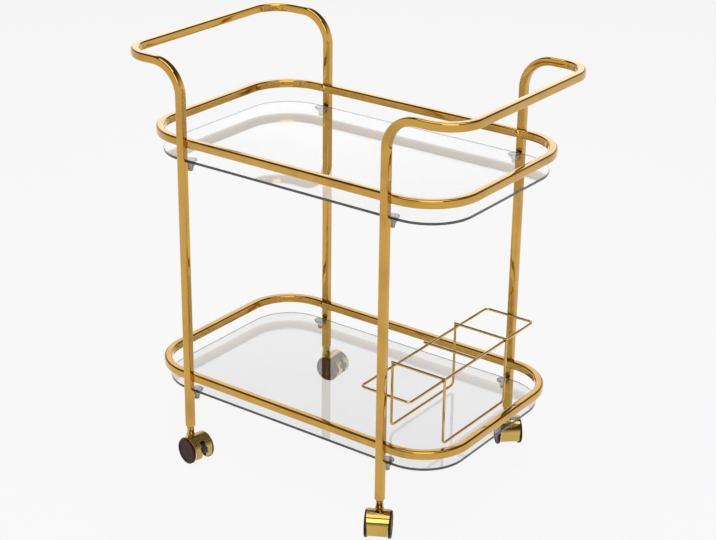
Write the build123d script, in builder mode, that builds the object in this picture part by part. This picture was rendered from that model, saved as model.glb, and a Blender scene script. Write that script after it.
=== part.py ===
"""Service cart with two glass shelves, in millimetres.

Two bent square-tube end frames carry two gallery rails, two glass shelves on soft cups,
a wire bottle rack over the lower shelf and four hooded twin-wheel swivel casters.
The origin is on the floor midway between the legs. +X points along the cart towards the
end with the rack, -Y is the front and +Z is up.
"""
import os
from math import cos, radians, sin

from build123d import *

# Square tube that the end frames and the rails are bent from
tube_size = 16.0
tube_wall = 1.2
tube_edge_radius = 3.0
tube_inside = tube_size - 2 * tube_wall
tube_inside_radius = tube_edge_radius - tube_wall

# End frames: two legs joined by a handle
leg_x = 228.5
leg_y = 221.0
leg_foot_z = 68.5
leg_bend_radius = 60.0
handle_x = 371.0
handle_z = 802.0
handle_corner_radius = 60.0
leg_inner_face = leg_y - tube_size / 2

# Gallery rails: closed loops that sit in flat seats in the legs' inner faces
rail_x = 342.5
rail_corner_radius = 95.0
rail_seat_depth = 7.5
rail_seat_clearance = 0.2
upper_rail_z = 654.0
lower_rail_z = 174.0
rail_y = leg_inner_face + rail_seat_depth - tube_size / 2

# Domed screws that hold the rails to the legs
screw_radius = 2.5
screw_hole_clearance = 0.15
screw_head_radius = 6.8
screw_head_height = 4.0
screw_tip_reach = 4.0

# Glass shelves
glass_thickness = 5.0
glass_rail_overlap = 3.0
glass_edge_chamfer = 0.8
upper_glass_drop = 36.5
lower_glass_drop = 31.5
upper_glass_top = upper_rail_z - upper_glass_drop
lower_glass_top = lower_rail_z - lower_glass_drop

# Pegs in the legs and the soft cups that carry the glass
peg_radius = 2.5
peg_reach = 20.5
peg_end_round = 0.8
peg_collar_radius = 4.5
peg_collar_length = 2.0
peg_collar_round = 0.6
cup_reach = 14.0
cup_height = 18.0
cup_rim_radius = 12.7
cup_rim_width = 1.5
cup_rim_thickness = 1.2
cup_rim_round = 0.4
cup_dish_depth = 1.0
cup_cone_height = 11.0
cup_cone_round = 3.0
cup_neck_radius = 4.6
cup_foot_round = 1.5
cup_hole_drop = 14.0

# Wire bottle rack fixed between the right-hand legs
wire_radius = 2.5
wire_weld_sink = 0.3
rack_z = 278.0
rack_width = 106.0
rack_corner_radius = 8.0
rack_pitch = 105.5
cross_wire_overhang = 6.5
cradle_base_z = 151.0
cradle_bend_radius = 9.0

# Casters: swivel stem in a plug in each leg's foot
plug_length = 32.0
plug_floor = 4.0
stem_radius = 4.0
stem_running_clearance = 0.05
stem_end_gap = 1.0
stem_end_chamfer = 1.0
stem_seat_depth = 20.0
stem_collar_radius = 6.2
stem_collar_height = 1.4
swivel_gap = 0.6
neck_top_z = leg_foot_z - swivel_gap - stem_collar_height

# Casters: twin wheels on one axle behind the swivel axis
caster_trail = 16.5
wheel_radius = 26.0
wheel_pair_width = 50.0
wheel_rim_inner_gap = 38.6
wheel_rim_depth = 5.0
wheel_disc_thickness = 4.2
wheel_edge_round = 2.0
wheel_dish_depth = 1.0
wheel_dish_edge = 4.5
wheel_dish_round = 0.8
wheel_hub_radius = 6.5
wheel_hub_gap = 18.8
wheel_bore_floor = 2.6
wheel_bore_clearance = 0.05
axle_radius = 3.0
axle_end_gap = 0.4

# Casters: plated hood over the wheels
hood_radius = 28.0
hood_wall = 1.5
hood_top_width = 44.0
hood_side_width = 37.6
hood_skirt_z = 14.0
hood_neck_radius = 7.0
hood_neck_base_z = 38.0
hood_neck_edge_round = 0.8
hood_flare_radius = 9.5
hood_flare_base_z = 46.0
hood_flare_top_z = 54.0
hood_flare_round = 5.0
hood_web_thickness = 5.0
hood_web_reach = 7.0
hood_boss_radius = 7.0
hood_boss_length = 18.0

# Casters: brake lever in the trailing side of the two left-hand hoods
lever_pin_back = 17.0
lever_pin_rise = 13.0
lever_pin_radius = 1.5
lever_pin_clearance = 0.05
lever_width = 9.0
lever_side_gap = 0.5
lever_barrel_radius = 3.2
lever_arm_thickness = 4.0
lever_pad_inner = 24.0
lever_pad_outer = 32.5
lever_pad_bottom = 1.0
lever_pad_top = 12.0
lever_edge_round = 1.0
lever_slot_top = 21.0
lever_ear_radius = 4.0
lever_ear_thickness = 2.0
lever_ear_gap = 0.7

sides = (-1, 1)
corners = [(x_side, y_side) for x_side in sides for y_side in sides]


# Bent tube of one end frame, with the seats for the rails

def frame_line(x_side):
    """Centre line of an end frame from the front foot over the handle to the rear foot."""
    with BuildLine() as line:
        FilletPolyline(
            (x_side * leg_x, -leg_y, leg_foot_z),
            (x_side * leg_x, -leg_y, handle_z),
            (x_side * handle_x, -leg_y, handle_z),
            (x_side * handle_x, leg_y, handle_z),
            (x_side * leg_x, leg_y, handle_z),
            (x_side * leg_x, leg_y, leg_foot_z),
            radius=(leg_bend_radius, handle_corner_radius, handle_corner_radius, leg_bend_radius),
        )
    return line.line


def end_frame(x_side):
    """One bent tube whose bore stays one wall away from the rail seats pressed into it."""
    foot = Plane((x_side * leg_x, -leg_y, leg_foot_z))
    seats = [(x_side * leg_x, y_side * rail_y, z) for y_side in sides for z in (upper_rail_z, lower_rail_z)]
    seat_height = tube_size + 2 * rail_seat_clearance
    with BuildPart() as bore:
        with BuildSketch(foot):
            RectangleRounded(tube_inside, tube_inside, tube_inside_radius)
        sweep(path=frame_line(x_side))
        with Locations(*seats):
            Box(
                2 * tube_size,
                tube_size + 2 * tube_wall,
                seat_height + 2 * tube_wall,
                mode=Mode.SUBTRACT,
            )
    with BuildPart() as frame:
        with BuildSketch(foot):
            RectangleRounded(tube_size, tube_size, tube_edge_radius)
        sweep(path=frame_line(x_side))
        with Locations(*seats):
            Box(2 * tube_size, tube_size, seat_height, mode=Mode.SUBTRACT)
        add(bore.part, mode=Mode.SUBTRACT)
        for y_side in sides:
            for z in (upper_rail_z, lower_rail_z):
                with BuildSketch(inward_plane(x_side, y_side, rail_y + tube_size / 2, z)):
                    Circle(screw_radius + screw_hole_clearance)
                extrude(amount=2 * tube_wall, both=True, mode=Mode.SUBTRACT)
            for glass_top in (upper_glass_top, lower_glass_top):
                with BuildSketch(inward_plane(x_side, y_side, leg_inner_face, peg_z(glass_top))):
                    Circle(peg_radius)
                extrude(amount=2 * tube_wall, both=True, mode=Mode.SUBTRACT)
    return frame.part


def inward_plane(x_side, y_side, y, z):
    """Plane across a leg at distance y from the middle, facing the middle of the cart."""
    return Plane((x_side * leg_x, y_side * y, z), x_dir=(1, 0, 0), z_dir=(0, -y_side, 0))


def peg_z(glass_top):
    """Height of the pegs that carry a shelf."""
    return glass_top - glass_thickness - cup_hole_drop


# Gallery rails and the screws through them

def rail_ring(z, size, edge_radius):
    """Rounded rectangular ring of square section on the rail's centre line."""
    with BuildPart() as ring:
        with BuildSketch(Plane.XY.offset(z - size / 2)):
            RectangleRounded(2 * rail_x + size, 2 * rail_y + size, rail_corner_radius + size / 2)
            RectangleRounded(
                2 * rail_x - size,
                2 * rail_y - size,
                rail_corner_radius - size / 2,
                mode=Mode.SUBTRACT,
            )
        extrude(amount=size)
        fillet(ring.faces().filter_by(Axis.Z).edges(), edge_radius)
    return ring.part


def gallery_rail(z):
    """Hollow closed loop, bored at the legs for its screws."""
    with BuildPart() as rail:
        add(rail_ring(z, tube_size, tube_edge_radius))
        add(rail_ring(z, tube_inside, tube_inside_radius), mode=Mode.SUBTRACT)
        for x_side, y_side in corners:
            with BuildSketch(inward_plane(x_side, y_side, rail_y, z)):
                Circle(screw_radius + screw_hole_clearance)
            extrude(amount=tube_size, both=True, mode=Mode.SUBTRACT)
    return rail.part


def rail_screws(z):
    """Four domed screws, each with its head on the rail's inner face."""
    dome_radius = (screw_head_radius ** 2 + screw_head_height ** 2) / (2 * screw_head_height)
    tip = -(tube_size + tube_wall + screw_tip_reach)
    with BuildPart() as screws:
        for x_side, y_side in corners:
            seat = inward_plane(x_side, y_side, rail_y - tube_size / 2, z)
            with BuildSketch(Plane(seat.origin, x_dir=(1, 0, 0), z_dir=(0, 0, -y_side))):
                with BuildLine():
                    RadiusArc((0, screw_head_height), (screw_head_radius, 0), dome_radius)
                    Polyline(
                        (screw_head_radius, 0),
                        (screw_radius, 0),
                        (screw_radius, tip),
                        (0, tip),
                        (0, screw_head_height),
                    )
                make_face()
            revolve(axis=Axis(seat.origin, seat.z_dir))
    return screws.part


# Glass shelves with the pegs and cups under them

def glass_shelf(glass_top):
    """Plate that lies under the rail, with its edges ground off at an angle."""
    inset = tube_size / 2 - glass_rail_overlap
    with BuildPart() as glass:
        with BuildSketch(Plane.XY.offset(glass_top - glass_thickness)):
            RectangleRounded(
                2 * (rail_x - inset),
                2 * (rail_y - inset),
                rail_corner_radius - inset,
            )
        extrude(amount=glass_thickness)
        chamfer(glass.faces().filter_by(Axis.Z).edges(), glass_edge_chamfer)
    return glass.part


def shelf_pegs(glass_top):
    """Four round pegs through the legs' inner walls, each with a collar against the leg."""
    with BuildPart() as pegs:
        for x_side, y_side in corners:
            face = inward_plane(x_side, y_side, leg_inner_face, peg_z(glass_top))
            with BuildSketch(Plane(face.origin, x_dir=(1, 0, 0), z_dir=(0, 0, -y_side))):
                with BuildLine():
                    FilletPolyline(
                        (0, -tube_wall),
                        (peg_radius, -tube_wall),
                        (peg_radius, 0),
                        (peg_collar_radius, 0),
                        (peg_collar_radius, peg_collar_length),
                        (peg_radius, peg_collar_length),
                        (peg_radius, peg_reach),
                        (0, peg_reach),
                        radius=(0, 0, 0, peg_collar_round, 0, peg_end_round),
                    )
                    Line((0, peg_reach), (0, -tube_wall))
                make_face()
            revolve(axis=Axis(face.origin, face.z_dir))
    return pegs.part


def shelf_cups(glass_top):
    """Four soft cups pushed onto the pegs, each with a dished rim against the glass."""
    glass_bottom = glass_top - glass_thickness
    with BuildPart() as cups:
        for x_side, y_side in corners:
            top = (x_side * leg_x, y_side * (leg_inner_face - cup_reach), glass_bottom)
            with BuildSketch(Plane(top, x_dir=(1, 0, 0), z_dir=(0, -1, 0))):
                with BuildLine():
                    FilletPolyline(
                        (0, -cup_dish_depth),
                        (cup_rim_radius - cup_rim_width, 0),
                        (cup_rim_radius, 0),
                        (cup_rim_radius, -cup_rim_thickness),
                        (cup_neck_radius, -cup_cone_height),
                        (cup_neck_radius, -cup_height),
                        (0, -cup_height),
                        radius=(0, 0, cup_rim_round, cup_cone_round, cup_foot_round),
                    )
                    Line((0, -cup_height), (0, -cup_dish_depth))
                make_face()
            revolve(axis=Axis(top, (0, 0, 1)))
            with BuildSketch(inward_plane(x_side, y_side, leg_inner_face - cup_reach, peg_z(glass_top))):
                Circle(peg_radius)
            extrude(amount=cup_rim_radius, both=True, mode=Mode.SUBTRACT)
    return cups.part


# Wire bottle rack between the right-hand legs

def wire_along(line):
    """Round wire swept along a line."""
    with BuildPart() as wire:
        with BuildSketch(Plane(line @ 0, z_dir=line % 0)):
            Circle(wire_radius)
        sweep(path=line)
    return wire.part


def rack_frame():
    """Top frame of the rack, its end bars sunk slightly into the legs by the welds."""
    half_width = rack_width / 2
    end_y = leg_inner_face - wire_radius + wire_weld_sink
    with BuildLine() as loop:
        FilletPolyline(
            (leg_x - half_width, -end_y, rack_z),
            (leg_x + half_width, -end_y, rack_z),
            (leg_x + half_width, end_y, rack_z),
            (leg_x - half_width, end_y, rack_z),
            radius=rack_corner_radius,
            close=True,
        )
    return wire_along(loop.line)


def rack_cross_wires():
    """Three straight wires welded on top of the frame's long bars."""
    length = rack_width + 2 * cross_wire_overhang
    height = rack_z + 2 * wire_radius - wire_weld_sink
    with BuildPart() as wires:
        for y in (-rack_pitch, 0, rack_pitch):
            with BuildSketch(Plane((leg_x, y, height), z_dir=(1, 0, 0))):
                Circle(wire_radius)
            extrude(amount=length / 2, both=True)
    return wires.part


def rack_cradles():
    """Two U-shaped wires welded against the outsides of the frame's long bars."""
    reach = rack_width / 2 + 2 * wire_radius - wire_weld_sink
    top = rack_z + wire_radius
    with BuildPart() as cradles:
        for x_side in sides:
            x = leg_x + x_side * reach
            with BuildLine() as line:
                FilletPolyline(
                    (x, -rack_pitch, top),
                    (x, -rack_pitch, cradle_base_z),
                    (x, rack_pitch, cradle_base_z),
                    (x, rack_pitch, top),
                    radius=cradle_bend_radius,
                )
            add(wire_along(line.line))
    return cradles.part


# Casters, each on its own stand: x trails behind the swivel axis, y runs along the axle

def axle_plane(stand):
    """Upright plane across the axle, with its origin in the middle of the axle."""
    return Plane(
        stand.from_local_coords((caster_trail, 0, wheel_radius)),
        x_dir=stand.x_dir,
        z_dir=-stand.y_dir,
    )


def leg_plug(x_side, y_side):
    """Plastic plug in the foot of a leg, bored to carry the swivel stem."""
    foot = Plane((x_side * leg_x, y_side * leg_y, leg_foot_z))
    with BuildPart() as plug:
        with BuildSketch(foot):
            RectangleRounded(tube_inside, tube_inside, tube_inside_radius)
        extrude(amount=plug_length)
        with BuildSketch(foot):
            Circle(stem_radius + stem_running_clearance)
        extrude(amount=plug_length - plug_floor, mode=Mode.SUBTRACT)
    return plug.part


def swivel_stem(stand):
    """Steel stem seated in the hood's neck, with a collar under the plug."""
    collar_top = neck_top_z + stem_collar_height
    stem_top = leg_foot_z + plug_length - plug_floor - stem_end_gap
    with BuildPart() as stem:
        with BuildSketch(Plane(stand.origin, x_dir=stand.x_dir, z_dir=-stand.y_dir)):
            with BuildLine():
                Polyline(
                    (0, neck_top_z - stem_seat_depth),
                    (stem_radius, neck_top_z - stem_seat_depth),
                    (stem_radius, neck_top_z),
                    (stem_collar_radius, neck_top_z),
                    (stem_collar_radius, collar_top),
                    (stem_radius, collar_top),
                    (stem_radius, stem_top - stem_end_chamfer),
                    (stem_radius - stem_end_chamfer, stem_top),
                    (0, stem_top),
                    close=True,
                )
            make_face()
        revolve(axis=Axis(stand.origin, (0, 0, 1)))
    return stem.part


def caster_hood(stand, braked):
    """Curved hood over both wheels, with the neck, a middle web and the axle boss."""
    side = axle_plane(stand)
    across = Plane(side.origin, x_dir=stand.y_dir, z_dir=stand.x_dir)
    inside_radius = hood_radius - hood_wall
    beyond = 3 * hood_radius
    with BuildPart() as hood:
        # Shell, narrowing from its full width at the top to the gap between the wheels
        with BuildSketch(side):
            Circle(hood_radius)
            Circle(inside_radius, mode=Mode.SUBTRACT)
            with Locations((0, hood_skirt_z - wheel_radius)):
                Rectangle(beyond, beyond, align=(Align.CENTER, Align.MIN), mode=Mode.INTERSECT)
        extrude(amount=hood_top_width / 2, both=True)
        for y_side in sides:
            with BuildSketch(across):
                with BuildLine():
                    Polyline(
                        (y_side * hood_side_width / 2, -hood_radius),
                        (y_side * hood_side_width / 2, 0),
                        (y_side * hood_top_width / 2, hood_radius),
                        (y_side * hood_top_width, hood_radius),
                        (y_side * hood_top_width, -hood_radius),
                        close=True,
                    )
                make_face()
            extrude(amount=beyond, both=True, mode=Mode.SUBTRACT)
        # Middle web and axle boss inside the shell
        with BuildSketch(side):
            Circle(hood_radius - hood_wall / 2)
            with Locations((hood_web_reach, 0)):
                Rectangle(beyond, beyond, align=(Align.MAX, Align.MIN), mode=Mode.INTERSECT)
        extrude(amount=hood_web_thickness / 2, both=True)
        with BuildSketch(side):
            Circle(hood_boss_radius)
        extrude(amount=hood_boss_length / 2, both=True)
        # Neck on the swivel axis, flared at its foot and bored for the stem
        with BuildSketch(Plane(stand.origin, x_dir=stand.x_dir, z_dir=-stand.y_dir)):
            with BuildLine():
                FilletPolyline(
                    (0, hood_neck_base_z),
                    (hood_flare_radius, hood_neck_base_z),
                    (hood_flare_radius, hood_flare_base_z),
                    (hood_neck_radius, hood_flare_top_z),
                    (hood_neck_radius, neck_top_z),
                    (0, neck_top_z),
                    radius=(0, hood_flare_round, hood_flare_round, hood_neck_edge_round),
                )
                Line((0, neck_top_z), (0, hood_neck_base_z))
            make_face()
        revolve(axis=Axis(stand.origin, (0, 0, 1)))
        with BuildSketch(stand.offset(neck_top_z)):
            Circle(stem_radius)
        extrude(amount=-stem_seat_depth, mode=Mode.SUBTRACT)
        with BuildSketch(side):
            Circle(axle_radius)
        extrude(amount=hood_boss_length, both=True, mode=Mode.SUBTRACT)
        if braked:
            # Slot for the lever, open at the skirt, and two ears for its pin
            with BuildSketch(side):
                with Locations((lever_pin_back, lever_slot_top)):
                    Rectangle(hood_radius, beyond, align=(Align.MIN, Align.MAX))
            extrude(amount=lever_width / 2 + lever_side_gap, both=True, mode=Mode.SUBTRACT)
            ear_start = lever_width / 2 + lever_ear_gap
            for start in (ear_start, -ear_start - lever_ear_thickness):
                with BuildSketch(side.offset(start)):
                    SlotCenterPoint(
                        (lever_pin_back, lever_pin_rise),
                        (lever_pin_back + lever_ear_radius, lever_pin_rise + lever_ear_radius),
                        2 * lever_ear_radius,
                    )
                    Circle(hood_radius - hood_wall / 2, mode=Mode.INTERSECT)
                    with Locations((lever_pin_back, lever_pin_rise)):
                        Circle(lever_pin_radius, mode=Mode.SUBTRACT)
                extrude(amount=lever_ear_thickness)
    return hood.part


def caster_axle(stand):
    """Plain steel axle through the hood's boss, reaching into both wheels."""
    reach = wheel_pair_width / 2 - wheel_dish_depth - wheel_bore_floor - axle_end_gap
    with BuildPart() as axle:
        with BuildSketch(axle_plane(stand)):
            Circle(axle_radius)
        extrude(amount=reach, both=True)
    return axle.part


def caster_wheel(stand, y_side):
    """One dished plastic wheel with a blind hub, turned about the axle."""
    middle = axle_plane(stand).origin
    outer = wheel_pair_width / 2
    dish = outer - wheel_dish_depth
    disc_back = outer - wheel_disc_thickness
    rim_inside = wheel_radius - wheel_rim_depth
    bore = axle_radius + wheel_bore_clearance
    with BuildPart() as wheel:
        with BuildSketch(Plane(middle, x_dir=(0, 0, 1), z_dir=-y_side * stand.x_dir)):
            with BuildLine():
                FilletPolyline(
                    (0, dish - wheel_bore_floor),
                    (bore, dish - wheel_bore_floor),
                    (bore, wheel_hub_gap / 2),
                    (wheel_hub_radius, wheel_hub_gap / 2),
                    (wheel_hub_radius, disc_back),
                    (rim_inside, disc_back),
                    (rim_inside, wheel_rim_inner_gap / 2),
                    (wheel_radius, wheel_rim_inner_gap / 2),
                    (wheel_radius, outer),
                    (wheel_radius - wheel_dish_edge, outer),
                    (wheel_radius - wheel_dish_edge - wheel_dish_depth, dish),
                    (0, dish),
                    radius=(0, 0, 0, 0, 0, 0, 0, wheel_edge_round, wheel_dish_round, wheel_dish_round),
                )
                Line((0, dish), (0, dish - wheel_bore_floor))
            make_face()
        revolve(axis=Axis(middle, stand.y_dir))
    return wheel.part


def brake_lever(stand):
    """Lever with a pad outside the hood, an arm through the slot and a barrel on the pin."""
    half_arm = lever_arm_thickness / 2
    with BuildPart() as lever:
        with BuildSketch(axle_plane(stand)):
            with BuildLine():
                FilletPolyline(
                    (lever_pad_inner, lever_pad_bottom),
                    (lever_pad_outer, lever_pad_bottom),
                    (lever_pad_outer, lever_pad_top),
                    (lever_pin_back + half_arm, lever_pin_rise + half_arm),
                    (lever_pin_back - half_arm, lever_pin_rise - half_arm),
                    (lever_pad_inner, lever_pad_bottom + lever_arm_thickness),
                    radius=(0, lever_edge_round, 2 * lever_edge_round, 0, 0, 0),
                    close=True,
                )
            make_face()
            with Locations((lever_pin_back, lever_pin_rise)):
                Circle(lever_barrel_radius)
                Circle(lever_pin_radius + lever_pin_clearance, mode=Mode.SUBTRACT)
        extrude(amount=lever_width / 2, both=True)
    return lever.part


def brake_pin(stand):
    """Pin held in the hood's two ears, on which the lever tips."""
    length = lever_width + 2 * (lever_ear_gap + lever_ear_thickness)
    with BuildPart() as pin:
        with BuildSketch(axle_plane(stand)):
            with Locations((lever_pin_back, lever_pin_rise)):
                Circle(lever_pin_radius)
        extrude(amount=length / 2, both=True)
    return pin.part


# Where each caster stands and which way it trails, in degrees from +X
caster_places = {
    "front_left": (-1, -1, -12.0),
    "front_right": (1, -1, -60.0),
    "rear_left": (-1, 1, 5.0),
    "rear_right": (1, 1, -47.0),
}

parts = {
    "left_end_frame": end_frame(-1),
    "right_end_frame": end_frame(1),
    "upper_rail": gallery_rail(upper_rail_z),
    "lower_rail": gallery_rail(lower_rail_z),
    "upper_rail_screws": rail_screws(upper_rail_z),
    "lower_rail_screws": rail_screws(lower_rail_z),
    "upper_glass": glass_shelf(upper_glass_top),
    "lower_glass": glass_shelf(lower_glass_top),
    "upper_shelf_pegs": shelf_pegs(upper_glass_top),
    "lower_shelf_pegs": shelf_pegs(lower_glass_top),
    "upper_shelf_cups": shelf_cups(upper_glass_top),
    "lower_shelf_cups": shelf_cups(lower_glass_top),
    "rack_frame": rack_frame(),
    "rack_cross_wires": rack_cross_wires(),
    "rack_cradles": rack_cradles(),
}
for corner, (x_side, y_side, trail_angle) in caster_places.items():
    trail = (cos(radians(trail_angle)), sin(radians(trail_angle)), 0)
    stand = Plane((x_side * leg_x, y_side * leg_y, 0), x_dir=trail, z_dir=(0, 0, 1))
    braked = x_side < 0
    parts[corner + "_plug"] = leg_plug(x_side, y_side)
    parts[corner + "_stem"] = swivel_stem(stand)
    parts[corner + "_hood"] = caster_hood(stand, braked)
    parts[corner + "_axle"] = caster_axle(stand)
    parts[corner + "_wheel_right"] = caster_wheel(stand, -1)
    parts[corner + "_wheel_left"] = caster_wheel(stand, 1)
    if braked:
        parts[corner + "_brake_lever"] = brake_lever(stand)
        parts[corner + "_brake_pin"] = brake_pin(stand)

os.makedirs("parts", exist_ok=True)
for name, part in parts.items():
    part.label = name
    export_step(part, "parts/" + name + ".step")
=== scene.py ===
from math import acos, asin, atan2, cos, degrees, pi, radians, sin, tan

import bpy
from mathutils import Matrix, Vector


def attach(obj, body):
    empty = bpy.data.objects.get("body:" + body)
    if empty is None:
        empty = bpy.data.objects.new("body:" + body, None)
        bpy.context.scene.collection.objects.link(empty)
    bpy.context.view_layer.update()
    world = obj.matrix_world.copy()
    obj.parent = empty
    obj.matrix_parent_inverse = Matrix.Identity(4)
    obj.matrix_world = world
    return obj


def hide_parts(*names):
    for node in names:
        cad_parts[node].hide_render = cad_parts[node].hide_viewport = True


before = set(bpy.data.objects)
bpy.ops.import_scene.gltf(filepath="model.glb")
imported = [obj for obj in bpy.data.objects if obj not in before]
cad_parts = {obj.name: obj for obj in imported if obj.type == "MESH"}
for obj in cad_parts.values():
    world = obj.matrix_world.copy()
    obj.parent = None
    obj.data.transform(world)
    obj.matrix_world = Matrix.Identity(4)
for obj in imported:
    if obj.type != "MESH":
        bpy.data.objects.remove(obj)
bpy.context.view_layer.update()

# End frames: each is one square steel tube, bent into two legs and a push handle.
# The steel is polished and brass-plated, and the rails sit in flat seats let into the legs.

tube = 0.016
tube_wall = 0.0012
tube_edge = 0.0078
tube_crown = 0.735
tube_crease = 35
bend_steps = 24
leg_x = 0.2285
leg_y = 0.221
foot_z = 0.0685
foot_hollow = 0.036
handle_x = 0.371
handle_z = 0.802
handle_bend = 0.060
rail_heights = {"upper": 0.654, "lower": 0.174}
seat_depth = 0.0075
seat_clearance = 0.0002
rail_y = leg_y - tube + seat_depth
hair = 0.0001
merge_gap = 0.000005
facing = 0.9
tube_gold = (0.59, 0.33, 0.05, 1)
tube_tarnish = (0.47, 0.25, 0.034, 1)
plate_gloss = 0.05
plate_lacquer = 0.6
plate_ripple = 0.008


class Level:
    """A node's socket. Sums written with it become Math nodes in the same tree."""

    def __init__(self, tree, socket=None):
        self.tree = tree
        self.socket = socket

    def node(self, kind, settings=None, inputs=None, output=0):
        """Adds a node, sets it up, fills or links its inputs, and gives one of its outputs."""
        made = self.tree.nodes.new(kind)
        for key, value in (settings or {}).items():
            setattr(made, key, value)
        for key, value in (inputs or {}).items():
            if isinstance(value, Level):
                self.tree.links.new(value.socket, made.inputs[key])
            else:
                made.inputs[key].default_value = value
        return Level(self.tree, made.outputs[output])

    def maths(self, operation, first, second):
        return self.node("ShaderNodeMath", {"operation": operation}, {0: first, 1: second})

    def __add__(self, other):
        return self.maths("ADD", self, other)

    def __radd__(self, other):
        return self.maths("ADD", other, self)

    def __mul__(self, other):
        return self.maths("MULTIPLY", self, other)

    def __rmul__(self, other):
        return self.maths("MULTIPLY", other, self)

    def into(self, shader, name):
        self.tree.links.new(self.socket, shader.inputs[name])

    def mixed(self, low, high):
        """Colour that goes from low to high as this value goes from 0 to 1."""
        return self.node("ShaderNodeMix", {"data_type": "RGBA"}, {0: self, 6: low, 7: high}, 2)

    def noise(self, place, scale, detail):
        return self.node("ShaderNodeTexNoise", None, {"Vector": place, "Scale": scale, "Detail": detail})

    def rise(self, start, end):
        """0 below start, 1 above end, with a soft slope between them."""
        limits = {0: self, 1: start, 2: end}
        return self.node("ShaderNodeMapRange", {"interpolation_type": "SMOOTHSTEP"}, limits)


def new_finish(name):
    """New material, with its shader, its node tree and the place on the piece in metres."""
    material = bpy.data.materials.new(name)
    material.use_nodes = True
    tree = material.node_tree
    level = Level(tree)
    place = level.node("ShaderNodeTexCoord", output="Object")
    return material, tree.nodes["Principled BSDF"], level, place


def plated_finish(name, gold, tarnish):
    """Lacquered brass plate: even colour with faint clouds of tarnish, specks and a soft ripple."""
    material, shader, level, place = new_finish(name)
    cloud = level.noise(place, scale=14.0, detail=4.0)
    speck = level.noise(place, scale=420.0, detail=2.0)
    waves = level.noise(place, scale=60.0, detail=1.0)
    cloud.rise(0.42, 0.75).mixed(gold, tarnish).into(shader, "Base Color")
    dulled = 0.07 * cloud.rise(0.45, 0.8)
    specked = 0.06 * speck.rise(0.62, 0.8)
    (plate_gloss + dulled + specked).into(shader, "Roughness")
    shader.inputs["Metallic"].default_value = 1.0
    shader.inputs["Coat Weight"].default_value = plate_lacquer
    bump = {"Strength": plate_ripple, "Distance": 0.0004, "Height": waves + 0.03 * speck}
    level.node("ShaderNodeBump", None, bump).into(shader, "Normal")
    return material


tube_plate = plated_finish("tube_plate", tube_gold, tube_tarnish)


def choose(piece, test):
    """In edit mode, selects the faces whose middle and outward direction pass the test."""
    bpy.ops.mesh.select_mode(type="FACE")
    bpy.ops.mesh.select_all(action="DESELECT")
    bpy.ops.object.mode_set(mode="OBJECT")
    for face in piece.data.polygons:
        face.select = test(face.center, face.normal)
    bpy.ops.object.mode_set(mode="EDIT")


def take_up(name):
    """Names the primitive just added, puts its place into its mesh and opens it for editing."""
    piece = bpy.context.object
    piece.name = name
    piece.data.name = name
    bpy.ops.object.transform_apply(location=True, rotation=True, scale=True)
    bpy.ops.object.mode_set(mode="EDIT")
    bpy.ops.mesh.select_mode(type="VERT")
    bpy.ops.mesh.select_all(action="SELECT")
    return piece


def put_down(piece, finish, crease=tube_crease):
    """Closes the mesh, turns its faces outwards and smooths all but the sharp edges."""
    bpy.ops.mesh.select_all(action="SELECT")
    bpy.ops.mesh.remove_doubles(threshold=merge_gap)
    bpy.ops.mesh.normals_make_consistent(inside=False)
    bpy.ops.object.mode_set(mode="OBJECT")
    bpy.ops.object.shade_smooth_by_angle(angle=radians(crease))
    piece.data.materials.append(finish)


def follow(points, radii):
    """Extrudes the selected face through the points and spins it round each corner."""
    points = [Vector(p) for p in points]
    here = points[0]
    for spot, radius in enumerate(radii, 1):
        corner = points[spot]
        way_in = (corner - points[spot - 1]).normalized()
        way_out = (points[spot + 1] - corner).normalized()
        turn = acos(way_in.dot(way_out))
        reach = radius * tan(turn / 2)
        axis = way_in.cross(way_out).normalized()
        start = corner - way_in * reach
        bpy.ops.mesh.extrude_region_move(TRANSFORM_OT_translate={"value": start - here})
        centre = start + axis.cross(way_in) * radius
        bpy.ops.mesh.spin(steps=bend_steps, angle=-turn, center=centre, axis=axis)
        here = corner + way_out * reach
    bpy.ops.mesh.extrude_region_move(TRANSFORM_OT_translate={"value": points[-1] - here})


def square_bar(name, points, radii, tilt=(0, 0, 0)):
    """Square tube with slightly crowned faces and rounded edges, left open for editing."""
    bpy.ops.object.select_all(action="DESELECT")
    bpy.ops.mesh.primitive_plane_add(size=tube, location=points[0], rotation=tilt)
    piece = take_up(name)
    bpy.ops.mesh.bevel(offset=tube_edge, segments=12, profile=tube_crown, affect="VERTICES")
    bpy.ops.mesh.select_all(action="SELECT")
    follow(points, radii)
    return piece


def cut_seats(piece, x):
    """Lets the four flat seats for the rails into a frame's legs."""
    for y_side in (-1, 1):
        for height in rail_heights.values():
            bpy.ops.object.select_all(action="DESELECT")
            bpy.ops.mesh.primitive_cube_add(size=1, location=(x, y_side * rail_y, height))
            seat = bpy.context.object
            seat.scale = (2 * tube, tube, tube + 2 * seat_clearance)
            bpy.context.view_layer.objects.active = piece
            cut = piece.modifiers.new("seat", "BOOLEAN")
            cut.operation = "DIFFERENCE"
            cut.object = seat
            bpy.ops.object.modifier_apply(modifier=cut.name)
            bpy.data.objects.remove(seat)


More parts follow.
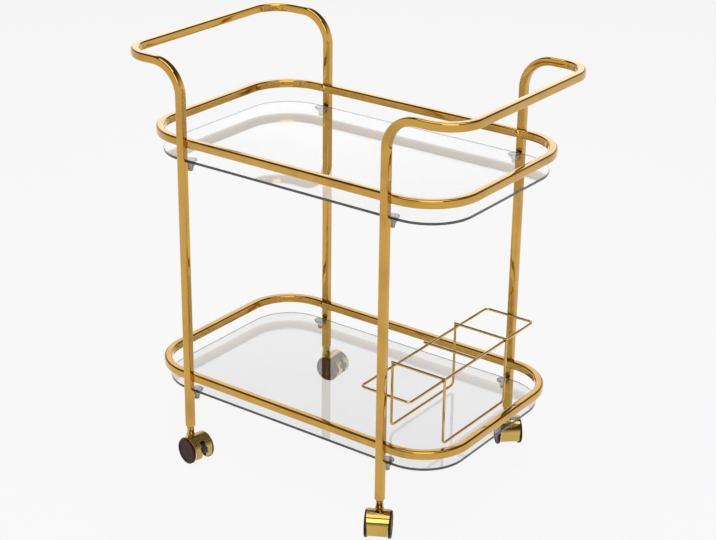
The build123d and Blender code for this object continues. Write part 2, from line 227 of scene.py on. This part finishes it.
for side, node in ((-1, "left_end_frame"), (1, "right_end_frame")):
    corners = [
        (side * leg_x, -leg_y, foot_z),
        (side * leg_x, -leg_y, handle_z),
        (side * handle_x, -leg_y, handle_z),
        (side * handle_x, leg_y, handle_z),
        (side * leg_x, leg_y, handle_z),
        (side * leg_x, leg_y, foot_z),
    ]
    end_frame = square_bar(node + "_tube", corners, [handle_bend] * 4)
    bpy.ops.mesh.select_all(action="SELECT")
    bpy.ops.mesh.normals_make_consistent(inside=False)
    choose(end_frame, lambda middle, out: middle.z < foot_z + hair and out.z < -facing)
    bpy.ops.mesh.inset(thickness=tube_wall, use_individual=True)
    bpy.ops.mesh.extrude_region_move(TRANSFORM_OT_translate={"value": (0, 0, foot_hollow)})
    put_down(end_frame, tube_plate)
    cut_seats(end_frame, side * leg_x)
    bpy.ops.object.shade_smooth_by_angle(angle=radians(tube_crease))
    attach(end_frame, "frame")
    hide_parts(node)

# Gallery rails: closed loops of the same tube round each shelf, with wide corners.
# Each is butted and polished at the joint, so no seam shows.

rail_x = 0.3425
rail_bend = 0.095
for tier, height in rail_heights.items():
    corners = [
        (0, -rail_y, height),
        (rail_x, -rail_y, height),
        (rail_x, rail_y, height),
        (-rail_x, rail_y, height),
        (-rail_x, -rail_y, height),
        (0, -rail_y, height),
    ]
    rail = square_bar(tier + "_rail_tube", corners, [rail_bend] * 4, (0, pi / 2, 0))
    choose(rail, lambda middle, out: abs(middle.x) < hair and middle.y < 0)
    bpy.ops.mesh.delete(type="FACE")
    put_down(rail, tube_plate)
    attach(rail, "frame")
    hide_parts(tier + "_rail")

# Rail screws: plated machine screws with plain domed heads.
# Each goes through a rail from inside the cart and pulls it into its seat in the leg.

screw_head = 0.0068
screw_dome = 0.004
screw_shank = 0.0025
screw_tip = 0.0212
dome = (screw_head ** 2 + screw_dome ** 2) / (2 * screw_dome)
dome_edge = degrees(atan2(dome - screw_dome, screw_head))


def arc(centre, radius, start, end, steps):
    """Points of a profile along an arc, angles in degrees."""
    turns = [radians(start + (end - start) * n / steps) for n in range(steps + 1)]
    return [(centre[0] + radius * cos(a), centre[1] + radius * sin(a)) for a in turns]


def turned(name, profile, base, axis, side, steps=40):
    """Shape turned on a lathe: profile points are distances from the axis and along it."""
    base, axis, side = Vector(base), Vector(axis), Vector(side)
    points = [base + side * out + axis * along for out, along in profile]
    bpy.ops.object.select_all(action="DESELECT")
    bpy.ops.mesh.primitive_plane_add(size=0.001, location=points[0])
    piece = take_up(name)
    bpy.ops.mesh.merge(type="CENTER")
    for last, point in zip(points, points[1:]):
        bpy.ops.mesh.extrude_vertices_move(TRANSFORM_OT_translate={"value": point - last})
    bpy.ops.mesh.select_all(action="SELECT")
    bpy.ops.mesh.spin(steps=steps, angle=2 * pi, center=base, axis=axis)
    return piece


def at_four_legs(piece):
    """Repeats a piece made at the front right leg at all four legs, as one object."""
    turn = Matrix.Rotation(pi, 4, "Z")
    shift = Matrix.Translation((2 * leg_x, 0, 0))
    bpy.ops.object.select_all(action="DESELECT")
    for move in (turn, shift @ turn, shift.inverted()):
        twin = piece.copy()
        twin.data = piece.data.copy()
        twin.data.transform(move)
        bpy.context.collection.objects.link(twin)
        twin.select_set(True)
    piece.select_set(True)
    bpy.context.view_layer.objects.active = piece
    bpy.ops.object.join()


for tier, height in rail_heights.items():
    profile = arc((0, screw_dome - dome), dome, 90, dome_edge, 10)
    profile += [(screw_shank, 0), (screw_shank, -screw_tip), (0, -screw_tip)]
    seat = (leg_x, -rail_y + tube / 2, height)
    screws = turned(tier + "_rail_domed_screws", profile, seat, (0, 1, 0), (1, 0, 0))
    put_down(screws, tube_plate)
    at_four_legs(screws)
    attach(screws, "frame")
    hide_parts(tier + "_rail_screws")

# Shelf pegs: turned brass-plated pegs welded into the legs' inner faces.
# A collar stands against the leg, and the free end is rounded.

glass_tops = {"upper": 0.6175, "lower": 0.1425}
glass_thick = 0.005
inner_face = leg_y - tube / 2
peg = 0.0025
peg_root = 0.001
peg_reach = 0.0205
peg_round = 0.0008
peg_drop = 0.014
collar = 0.0045
collar_back = 0.004
collar_length = 0.002
collar_round = 0.0006
for tier, top in glass_tops.items():
    profile = [(0, -peg_root), (peg, -peg_root), (peg, 0), (collar_back, 0)]
    profile += arc((collar - collar_round, collar_length - collar_round), collar_round, 0, 90, 4)
    profile += [(peg, collar_length)]
    profile += arc((peg - peg_round, peg_reach - peg_round), peg_round, 0, 90, 5)
    profile += [(0, peg_reach)]
    root = (leg_x, -inner_face, top - glass_thick - peg_drop)
    pegs = turned(tier + "_shelf_turned_pegs", profile, root, (0, 1, 0), (1, 0, 0))
    put_down(pegs, tube_plate)
    at_four_legs(pegs)
    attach(pegs, "frame")
    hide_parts(tier + "_shelf_pegs")

# Soft cups: milky grey moulded cups pushed onto the pegs.
# Their dished rims hold the glass by suction and keep it off the metal.

cup_reach = 0.014
cup_height = 0.018
cup_rim = 0.0127
cup_dish = 0.001
cup_seal = 0.0015
cup_lip = 0.0002
rim_round = 0.0005
rim_drop = 0.0008
cup_neck = 0.0046
cup_cone = [(0.0013, 0.0096), (0.0004, 0.0110), (0, 0.0125)]
cup_foot = 0.0015
cup_grey = (0.80, 0.78, 0.75, 1)
cup_dust = (0.86, 0.84, 0.81, 1)


def milky_finish(name, colour, dusty):
    """Soft milky plastic: lets some light through, slightly mottled, dusty where it is handled."""
    material, shader, level, place = new_finish(name)
    mottle = level.noise(place, scale=90.0, detail=3.0)
    grain = level.noise(place, scale=1500.0, detail=2.0)
    mottle.rise(0.35, 0.7).mixed(colour, dusty).into(shader, "Base Color")
    (0.30 + 0.2 * mottle).into(shader, "Roughness")
    shader.inputs["Transmission Weight"].default_value = 0.5
    bump = {"Strength": 0.15, "Distance": 0.0002, "Height": grain}
    level.node("ShaderNodeBump", None, bump).into(shader, "Normal")
    return material


cup_plastic = milky_finish("cup_plastic", cup_grey, cup_dust)
for tier, top in glass_tops.items():
    profile = [(0, -cup_dish), (cup_rim - cup_seal, 0), (cup_rim - cup_lip, 0)]
    profile += arc((cup_rim - rim_round, -rim_drop), rim_round, 50, -60, 4)
    profile += [(cup_neck + out, -down) for out, down in cup_cone]
    profile += arc((cup_neck - cup_foot, cup_foot - cup_height), cup_foot, 0, -90, 5)
    profile += [(0, -cup_height)]
    rest = (leg_x, -inner_face + cup_reach, top - glass_thick)
    cups = turned(tier + "_shelf_soft_cups", profile, rest, (0, 0, 1), (1, 0, 0))
    put_down(cups, cup_plastic)
    at_four_legs(cups)
    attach(cups, "frame")
    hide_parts(tier + "_shelf_cups")

# Glass shelves: clear float glass with round corners, its grey partly its own tint and partly painted
# shade that darkens what is seen through it.
# The edge is ground and polished; its dark line is painted shade, an opaque dark grey finish in place of
# the darkness a clear glass edge shows. Each sheet lies loose on its cups.

glass_inset = 0.005
glass_arris = 0.0008
glass_crease = 20
# Grey of the glass: partly the glass's own tint, partly painted shade darkening what shows through it.
clean_glass_tint_and_shade = (0.80, 0.795, 0.795, 1)
smeared_glass_tint_and_shade = (0.76, 0.755, 0.755, 1)
# Painted shade: the dark look of the glass edge is painted on as an opaque dark grey.
painted_shade_edge_dark = (0.06, 0.06, 0.07, 1)
painted_shade_edge_light = (0.16, 0.16, 0.18, 1)


def clear_glass(name):
    """Clear glass with faint smears left by wiping; its grey is partly its own tint and partly painted
    shade.
    """
    material, shader, level, place = new_finish(name)
    smear = level.noise(place, scale=5.0, detail=5.0)
    smear.rise(0.4, 0.8).mixed(clean_glass_tint_and_shade, smeared_glass_tint_and_shade).into(shader, "Base Color")
    shader.inputs["Roughness"].default_value = 0.0
    shader.inputs["Transmission Weight"].default_value = 1.0
    shader.inputs["IOR"].default_value = 1.6
    return material


def shaded_glass_edge(name):
    """Ground and polished glass edge, painted dark grey as painted shade, with the fine lines of the
    grinding wheel.
    """
    material, shader, level, place = new_finish(name)
    lines = level.noise(place, scale=160.0, detail=3.0)
    lines.rise(0.3, 0.75).mixed(painted_shade_edge_dark, painted_shade_edge_light).into(shader, "Base Color")
    (0.08 + 0.12 * lines).into(shader, "Roughness")
    shader.inputs["Coat Weight"].default_value = 0.5
    return material


shelf_glass = clear_glass("shelf_glass")
shelf_edge_painted_shade = shaded_glass_edge("shelf_edge_painted_shade")
for tier, top in glass_tops.items():
    bpy.ops.object.select_all(action="DESELECT")
    bpy.ops.mesh.primitive_plane_add(size=2, location=(0, 0, top - glass_thick))
    bpy.context.object.scale = (rail_x - glass_inset, rail_y - glass_inset, 1)
    glass = take_up(tier + "_glass_sheet")
    bpy.ops.mesh.bevel(offset=rail_bend - glass_inset, segments=32, affect="VERTICES")
    bpy.ops.mesh.select_all(action="SELECT")
    bpy.ops.mesh.extrude_region_move(TRANSFORM_OT_translate={"value": (0, 0, glass_thick)})
    bpy.ops.mesh.select_all(action="SELECT")
    bpy.ops.mesh.normals_make_consistent(inside=False)
    choose(glass, lambda middle, out: abs(out.z) > facing)
    bpy.ops.mesh.region_to_loop()
    bpy.ops.mesh.bevel(offset=glass_arris, segments=2)
    put_down(glass, shelf_glass, glass_crease)
    glass.data.materials.append(shelf_edge_painted_shade)
    bpy.ops.object.mode_set(mode="EDIT")
    choose(glass, lambda middle, out: abs(out.z) < facing)
    glass.active_material_index = 1
    bpy.ops.object.material_slot_assign()
    bpy.ops.object.mode_set(mode="OBJECT")
    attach(glass, "frame")
    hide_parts(tier + "_glass")

# Bottle rack: bent and welded plated wire between the right-hand legs, over the lower shelf.
# A top frame with cross wires makes four cells, and two hanging cradles steady the bottles.

wire = 0.0025
wire_sides = 16
weld_sink = 0.0003
rack_z = 0.278
rack_half = 0.053
rack_end = inner_face - wire + weld_sink
rack_corner = 0.008
rack_pitch = 0.1055
# The wire plate is the tube plate painted lighter: a painted highlight standing in for the brighter
# reflections on the thin round wire.
wire_gold_painted_lighter = (0.64, 0.40, 0.10, 1)
wire_tarnish_painted_lighter = (0.52, 0.31, 0.07, 1)
wire_plate_painted_lighter = plated_finish("wire_plate_painted_lighter", wire_gold_painted_lighter, wire_tarnish_painted_lighter)


def round_wire(name, points, radii, aim):
    """Round wire that sets out towards aim, left open for editing."""
    bpy.ops.object.select_all(action="DESELECT")
    turn = Vector((0, 0, 1)).rotation_difference(Vector(aim)).to_euler()
    end = {"vertices": wire_sides, "radius": wire, "fill_type": "NGON"}
    bpy.ops.mesh.primitive_circle_add(**end, location=points[0], rotation=turn)
    piece = take_up(name)
    follow(points, radii)
    return piece


def join_all(pieces):
    """Makes one object of several like pieces, under the name of the first."""
    bpy.ops.object.select_all(action="DESELECT")
    for piece in pieces:
        piece.select_set(True)
    bpy.context.view_layer.objects.active = pieces[0]
    bpy.ops.object.join()
    return pieces[0]


def hang_on_rack(piece, node):
    """Fixes a finished wire to the cart in place of its node."""
    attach(piece, "frame")
    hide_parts(node)


corners = [
    (leg_x, -rack_end, rack_z),
    (leg_x + rack_half, -rack_end, rack_z),
    (leg_x + rack_half, rack_end, rack_z),
    (leg_x - rack_half, rack_end, rack_z),
    (leg_x - rack_half, -rack_end, rack_z),
    (leg_x, -rack_end, rack_z),
]
rack_loop = round_wire("rack_frame_wire", corners, [rack_corner] * 4, (1, 0, 0))
choose(rack_loop, lambda middle, out: abs(middle.x - leg_x) < hair and middle.y < 0)
bpy.ops.mesh.delete(type="FACE")
put_down(rack_loop, wire_plate_painted_lighter)
hang_on_rack(rack_loop, "rack_frame")

cross_overhang = 0.0065
cross_reach = rack_half + cross_overhang
cross_z = rack_z + 2 * wire - weld_sink
crossings = []
for spot in (-1, 0, 1):
    ends = [(leg_x + end * cross_reach, spot * rack_pitch, cross_z) for end in (-1, 1)]
    crossing = round_wire("rack_crossing_wires", ends, [], (1, 0, 0))
    put_down(crossing, wire_plate_painted_lighter)
    crossings.append(crossing)
hang_on_rack(join_all(crossings), "rack_cross_wires")

cradle_reach = rack_half + 2 * wire - weld_sink
cradle_base = 0.151
cradle_bend = 0.009
cradles = []
for end in (-1, 1):
    x = leg_x + end * cradle_reach
    bends = [
        (x, -rack_pitch, rack_z + wire),
        (x, -rack_pitch, cradle_base),
        (x, rack_pitch, cradle_base),
        (x, rack_pitch, rack_z + wire),
    ]
    cradle = round_wire("rack_cradle_wires", bends, [cradle_bend] * 2, (0, 0, -1))
    put_down(cradle, wire_plate_painted_lighter)
    cradles.append(cradle)
hang_on_rack(join_all(cradles), "rack_cradles")

# Leg plugs, stems, axles and pins: the plain working pieces inside the casters.
# Black moulded plugs close the legs, and turned steel carries the swivels, wheels and levers.

plug_black = (0.02, 0.02, 0.02, 1)
plug_worn = (0.06, 0.06, 0.06, 1)
steel_dark = (0.45, 0.45, 0.46, 1)
steel_light = (0.62, 0.62, 0.63, 1)


def moulded_finish(name, colour, worn, roughness, shine=0.5):
    """Moulded plastic: fine grain, mottled gloss and scuffs that turn it paler."""
    material, shader, level, place = new_finish(name)
    grain = level.noise(place, scale=1100.0, detail=2.0)
    cloud = level.noise(place, scale=45.0, detail=4.0)
    scratch = level.noise(place, scale=260.0, detail=5.0)
    scuff = scratch.rise(0.56, 0.72) * cloud.rise(0.4, 0.65)
    scuff.mixed(colour, worn).into(shader, "Base Color")
    (roughness + 0.18 * cloud + 0.25 * scuff).into(shader, "Roughness")
    shader.inputs["Specular IOR Level"].default_value = shine
    bump = {"Strength": 0.12, "Distance": 0.0002, "Height": grain}
    level.node("ShaderNodeBump", None, bump).into(shader, "Normal")
    return material


def turned_steel(name):
    """Zinc-plated turned steel with fine tool lines."""
    material, shader, level, place = new_finish(name)
    lines = level.noise(place, scale=700.0, detail=2.0)
    lines.mixed(steel_dark, steel_light).into(shader, "Base Color")
    (0.22 + 0.2 * lines).into(shader, "Roughness")
    shader.inputs["Metallic"].default_value = 1.0
    return material


plug_plastic = moulded_finish("plug_plastic", plug_black, plug_worn, roughness=0.35)
steel = turned_steel("bright_steel")
for node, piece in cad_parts.items():
    if node.endswith("_plug"):
        piece.data.materials.clear()
        piece.data.materials.append(plug_plastic)
    elif node.endswith(("_stem", "_axle", "_brake_pin")):
        piece.data.materials.clear()
        piece.data.materials.append(steel)

# Caster hoods: die-cast and brass-plated, a curved shell over both wheels with a neck on top.
# A middle web inside carries the axle boss. The left-hand pair have a slot for a brake lever,
# and ears beside it that hold the lever's pin.

caster_places = {
    "front_left": (-1, -1, -12.0),
    "front_right": (1, -1, -60.0),
    "rear_left": (-1, 1, 5.0),
    "rear_right": (1, 1, -47.0),
}
trail = 0.0165
wheel = 0.026
hood = 0.028
hood_wall = 0.0015
wall_middle = hood - hood_wall / 2
hood_top = 0.022
hood_side = 0.0188
hood_edge = 0.0004
hood_crease = 40
hood_corner = 50
hood_steps = 72
cut_gap = 0.00005
fine_gap = 0.00002
flat_turn = 0.5
skirt = 0.014
neck = 0.007
neck_root = 0.040
neck_top = 0.0665
neck_edge = 0.0008
flare = 0.0095
flare_top = 0.0465
flare_sweep = [(0.0017, 0.0493), (0.0008, 0.0520), (0, 0.0556)]
boss = 0.007
boss_half = 0.009
web_thick = 0.005
web_reach = 0.007
slot_width = 0.010
slot_length = 0.03
slot_height = 0.04
slot_top = 0.021
slot_start = 0.017
ear = 0.004
ear_thick = 0.002
ear_middle = 0.0062
pin_rise = 0.013
hood_gold = (0.56, 0.37, 0.08, 1)
hood_tarnish = (0.46, 0.29, 0.055, 1)
hood_plate = plated_finish("hood_plate", hood_gold, hood_tarnish)


def at_caster(corner):
    """Place and turn of a caster, for what is made on a stand at the origin."""
    x_side, y_side, angle = caster_places[corner]
    spot = Matrix.Translation((x_side * leg_x, y_side * leg_y, 0))
    return spot @ Matrix.Rotation(radians(angle), 4, "Z")


def with_copies(master, suffix, body):
    """Copies a piece made on a stand at the origin to each caster, then drops the first one."""
    made = {}
    for corner in caster_places:
        twin = master.copy()
        twin.data = master.data.copy()
        twin.data.transform(at_caster(corner))
        twin.name = corner + suffix
        twin.data.name = twin.name
        bpy.context.collection.objects.link(twin)
        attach(twin, corner + body)
        made[corner] = twin
    bpy.data.objects.remove(master)
    return made


def combine(piece, other, operation):
    """Adds another shape to a piece, or cuts the piece with it, and drops the other."""
    bpy.ops.object.select_all(action="DESELECT")
    bpy.context.view_layer.objects.active = piece
    join = piece.modifiers.new("join", "BOOLEAN")
    join.operation = operation
    join.object = other
    bpy.ops.object.modifier_apply(modifier=join.name)
    bpy.data.objects.remove(other)


def clean_cuts(piece, gap):
    """Merges what the cuts left too close together. Leaves the piece open for editing."""
    bpy.ops.object.select_all(action="DESELECT")
    bpy.context.view_layer.objects.active = piece
    piece.select_set(True)
    bpy.ops.object.mode_set(mode="EDIT")
    bpy.ops.mesh.select_all(action="SELECT")
    bpy.ops.mesh.remove_doubles(threshold=gap)
    bpy.ops.mesh.dissolve_degenerate(threshold=gap)


def even_shading(piece):
    """Smooths the round faces and lets the wide ones rule, so that small bevels don't tilt them."""
    clean_cuts(piece, fine_gap)
    bpy.ops.object.mode_set(mode="OBJECT")
    bpy.ops.object.shade_smooth_by_angle(angle=radians(hood_crease))
    even = piece.modifiers.new("even", "WEIGHTED_NORMAL")
    even.keep_sharp = True
    bpy.ops.object.modifier_apply(modifier=even.name)


def hood_shell():
    """Curved strip over both wheels, cut to a width that grows from the axle to the top."""
    axle = Vector((trail, 0, wheel))
    fall = -asin((wheel - skirt) / hood)
    start = axle + Vector((cos(fall) * wall_middle, 0, sin(fall) * wall_middle))
    bpy.ops.object.select_all(action="DESELECT")
    bpy.ops.mesh.primitive_plane_add(size=1, location=start, rotation=(0, -fall, 0))
    bpy.context.object.scale = (hood_wall, 2 * hood, 1)
    shell = take_up("hood_shell")
    bpy.ops.mesh.spin(steps=hood_steps, angle=pi - 2 * fall, center=axle, axis=(0, 1, 0))
    put_down(shell, hood_plate)
    crown = axle + Vector((0, 0, hood))
    bpy.ops.object.select_all(action="DESELECT")
    bpy.ops.mesh.primitive_cube_add(size=1, location=(axle + crown) / 2)
    bpy.context.object.scale = (4 * hood, 2 * hood_side, hood)
    width = take_up("hood_width")
    choose(width, lambda middle, out: out.z > facing)
    bpy.ops.transform.resize(value=(1, hood_top / hood_side, 1), center_override=crown)
    bpy.ops.mesh.extrude_region_move(TRANSFORM_OT_translate={"value": (0, 0, hood_wall)})
    choose(width, lambda middle, out: out.z < -facing)
    bpy.ops.mesh.extrude_region_move(TRANSFORM_OT_translate={"value": (0, 0, -hood)})
    put_down(width, hood_plate)
    combine(shell, width, "INTERSECT")
    return shell


def hood_neck():
    """Neck on the swivel's axis, which sweeps out to a wider foot on the shell."""
    profile = [(0, neck_root), (flare, neck_root), (flare, flare_top)]
    profile += [(neck + out, height) for out, height in flare_sweep]
    profile += [(neck, neck_top - neck_edge), (neck - neck_edge, neck_top), (0, neck_top)]
    piece = turned("hood_neck", profile, (0, 0, 0), (0, 0, 1), (1, 0, 0))
    put_down(piece, hood_plate)
    return piece


def axle_boss():
    """Round boss that the axle goes through."""
    profile = [(0, -boss_half), (boss, -boss_half), (boss, boss_half), (0, boss_half)]
    piece = turned("hood_boss", profile, (trail, 0, wheel), (0, 1, 0), (1, 0, 0))
    put_down(piece, hood_plate)
    return piece


def plate_in_hood(name, radius, thick, middle, steps):
    """Round plate that stands upright along the caster, left open for editing."""
    bpy.ops.object.select_all(action="DESELECT")
    size = {"vertices": steps, "radius": radius, "depth": thick}
    bpy.ops.mesh.primitive_cylinder_add(**size, location=middle, rotation=(pi / 2, 0, 0))
    return take_up(name)


def middle_web():
    """Quarter plate between the wheels, from the shell down to the axle."""
    piece = plate_in_hood("hood_web", wall_middle, web_thick, (trail, 0, wheel), steps=96)
    cuts = [((trail + web_reach, 0, 0), (1, 0, 0)), ((0, 0, wheel), (0, 0, -1))]
    for point, way in cuts:
        bpy.ops.mesh.select_all(action="SELECT")
        bpy.ops.mesh.bisect(plane_co=point, plane_no=way, use_fill=True, clear_outer=True)
    put_down(piece, hood_plate)
    return piece


def lever_slot():
    """Block that cuts the brake lever's slot, open at the skirt."""
    bpy.ops.object.select_all(action="DESELECT")
    middle = (trail + slot_start + slot_length / 2, 0, wheel + slot_top - slot_height / 2)
    bpy.ops.mesh.primitive_cube_add(size=1, location=middle)
    bpy.context.object.scale = (slot_length, slot_width, slot_height)
    piece = take_up("lever_slot")
    bpy.ops.object.mode_set(mode="OBJECT")
    return piece


def lever_ear(side):
    """Ear inside the hood, beside the slot, that carries one end of the brake lever's pin."""
    middle = (trail + slot_start, side * ear_middle, wheel + pin_rise)
    piece = plate_in_hood("lever_ear", ear, ear_thick, middle, steps=32)
    choose(piece, lambda place, out: out.x + out.z > hair)
    bpy.ops.mesh.extrude_region_move(TRANSFORM_OT_translate={"value": (ear, 0, ear)})
    put_down(piece, hood_plate)
    limit = plate_in_hood("ear_limit", wall_middle, 2 * hood, (trail, 0, wheel), steps=96)
    put_down(limit, hood_plate)
    combine(piece, limit, "INTERSECT")
    return piece


shell = hood_shell()
combine(shell, hood_neck(), "UNION")
inside = axle_boss()
combine(inside, middle_web(), "UNION")
combine(shell, inside, "UNION")
clean_cuts(shell, cut_gap)
bpy.ops.mesh.dissolve_limited(angle_limit=radians(flat_turn))
bpy.ops.object.mode_set(mode="OBJECT")
edges = shell.modifiers.new("edges", "BEVEL")
edges.width = hood_edge
edges.use_clamp_overlap = False
edges.segments = 2
edges.limit_method = "ANGLE"
edges.angle_limit = radians(hood_corner)
bpy.ops.object.modifier_apply(modifier=edges.name)
even_shading(shell)
for corner, piece in with_copies(shell, "_hood_casting", "_caster").items():
    if corner.endswith("left"):
        slot = lever_slot()
        slot.data.transform(at_caster(corner))
        combine(piece, slot, "DIFFERENCE")
        for side in (-1, 1):
            bracket = lever_ear(side)
            bracket.data.transform(at_caster(corner))
            combine(piece, bracket, "UNION")
        even_shading(piece)
    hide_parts(corner + "_hood")

# Caster wheels: dark brown moulded plastic, a pair to each caster, closed on the outside.
# Each has a rounded tread and a shallow dished face, and turns on the axle by itself.

wheel_face = 0.025
wheel_inner = 0.0193
wheel_bore = 0.00305
bore_floor = 0.0036
hub = 0.0065
hub_start = 0.0094
disc_thick = 0.0042
rim_inside = 0.021
tread_edge = 0.0004
tread_round = 0.002
wheel_crease = 30
dish_edge = [(0.0045, 0), (0.0050, 0.0003), (0.0056, 0.0009), (0.0062, 0.001)]
dish_middle = [(0.012, 0.0008), (0.006, 0.0006), (0, 0.0005)]
wheel_brown = (0.052, 0.014, 0.009, 1)
wheel_worn = (0.11, 0.045, 0.034, 1)
wheel_plastic = moulded_finish("wheel_plastic", wheel_brown, wheel_worn, roughness=0.32, shine=0.2)
profile = [(0, wheel_face - bore_floor), (wheel_bore, wheel_face - bore_floor)]
profile += [(wheel_bore, hub_start), (hub, hub_start), (hub, wheel_face - disc_thick)]
profile += [(rim_inside, wheel_face - disc_thick), (rim_inside, wheel_inner)]
profile += [(wheel - tread_edge, wheel_inner), (wheel, wheel_inner + tread_edge)]
profile += arc((wheel - tread_round, wheel_face - tread_round), tread_round, 0, 90, 6)
profile += [(wheel - inset, wheel_face - depth) for inset, depth in dish_edge]
profile += [(out, wheel_face - depth) for out, depth in dish_middle]
for side, word in ((-1, "right"), (1, "left")):
    disc = turned("wheel_disc", profile, (trail, 0, wheel), (0, side, 0), (1, 0, 0), steps=64)
    put_down(disc, wheel_plastic, wheel_crease)
    discs = with_copies(disc, "_" + word + "_wheel_disc", "_" + word + "_wheel")
    for corner, piece in discs.items():
        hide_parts(corner + "_wheel_" + word)

# Brake levers: dark plastic pads in the slots of the left-hand hoods.
# Each tips on a steel pin held in the hood's two ears.

lever_grey = (0.035, 0.042, 0.055, 1)
lever_worn = (0.10, 0.11, 0.13, 1)
lever_plastic = moulded_finish("lever_plastic", lever_grey, lever_worn, roughness=0.3)
for corner in ("front_left", "rear_left"):
    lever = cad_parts[corner + "_brake_lever"]
    lever.data.materials.clear()
    lever.data.materials.append(lever_plastic)

# Studio: a plain pale floor, in a surround that is white low down and dark overhead.
# Three soft lamps light the cart. Metal and glass show the same floor and surround
# as the camera does, and the floor keeps the cart's shadow.

floor_size = 24
floor_drop = 0.0005
floor_whiteness = 0.9
floor_shade = (0.90, 0.90, 0.90, 1)
floor_light = (0.93, 0.93, 0.93, 1)
surround_white = (1, 1, 1, 1)
ceiling_grey = (0.08, 0.08, 0.08, 1)
ceiling_start = 2
ceiling_end = 40
surround_light = 0.3
lamp_aim = Vector((0, 0, 0.4))


def in_view(level):
    """1 for what the camera, metal and glass see, 0 for the light that falls on the cart."""
    total = 0.0
    for ray in ("Camera", "Glossy", "Transmission"):
        total = total + level.node("ShaderNodeLightPath", output="Is " + ray + " Ray")
    return level.maths("MINIMUM", total, 1.0)


def lamp(name, place, size, watts):
    """Soft lamp of a width and height in metres, turned to the cart."""
    light = bpy.data.lights.new(name, "AREA")
    light.shape = "RECTANGLE"
    light.size, light.size_y = size
    light.energy = watts
    holder = bpy.data.objects.new(name, light)
    holder.location = place
    holder.rotation_euler = (Vector(place) - lamp_aim).to_track_quat("Z", "Y").to_euler()
    holder.visible_camera = False
    bpy.context.collection.objects.link(holder)


bpy.ops.object.select_all(action="DESELECT")
bpy.ops.mesh.primitive_plane_add(size=floor_size, location=(0, 0, -floor_drop))
floor = bpy.context.object
floor.name = "studio_floor"
floor_paint, shader, level, place = new_finish("floor_paint")
mottle = level.noise(place, scale=3.0, detail=3.0)
mottle.mixed(floor_shade, floor_light).into(shader, "Base Color")
shader.inputs["Roughness"].default_value = 0.8
shader.inputs["Specular IOR Level"].default_value = 0.1
white = level.node("ShaderNodeEmission", None, {"Color": surround_white, "Strength": 1.0})
painted = Level(level.tree, shader.outputs[0])
blend = {0: floor_whiteness * in_view(level), 1: painted, 2: white}
paper = level.node("ShaderNodeMixShader", None, blend)
paper.into(level.tree.nodes["Material Output"], "Surface")
floor.data.materials.append(floor_paint)

world = bpy.data.worlds.new("studio")
bpy.context.scene.world = world
world.use_nodes = True
level = Level(world.node_tree)
surround = world.node_tree.nodes["Background"]
way = level.node("ShaderNodeTexCoord", output="Generated")
steepness = level.node("ShaderNodeSeparateXYZ", None, {0: way}, "Z")
ceiling = steepness.rise(sin(radians(ceiling_start)), sin(radians(ceiling_end)))
ceiling.mixed(surround_white, ceiling_grey).into(surround, "Color")
(surround_light + (1 - surround_light) * in_view(level)).into(surround, "Strength")
lamp("top_softbox", place=(0, 0, 3.0), size=(2.3, 2.3), watts=34)
lamp("back_softbox", place=(-1.72, 2.37, 1.68), size=(2.1, 0.95), watts=6)
lamp("front_softbox", place=(1.49, -1.66, 2.41), size=(1.8, 1.6), watts=23)

# Camera: stands to the right of the cart's front and looks down on it.
# Its place, turn and lens were worked out from the lines of the tubes.

camera_place = (1.7581, -2.4109, 1.6794)
camera_right = Vector((0.806973, 0.590467, 0.011928))
camera_up = Vector((-0.243644, 0.314447, 0.917475))
camera_back = Vector((0.537988, -0.743284, 0.397615))
camera = bpy.data.cameras.new("camera")
camera.sensor_fit = "HORIZONTAL"
camera.sensor_width = 36.0
camera.lens = 85.31
holder = bpy.data.objects.new("camera", camera)
turn = Matrix((camera_right, camera_up, camera_back)).transposed().to_4x4()
holder.matrix_world = Matrix.Translation(camera_place) @ turn
bpy.context.collection.objects.link(holder)
bpy.context.scene.camera = holder
bpy.context.scene.view_settings.view_transform = "Standard"
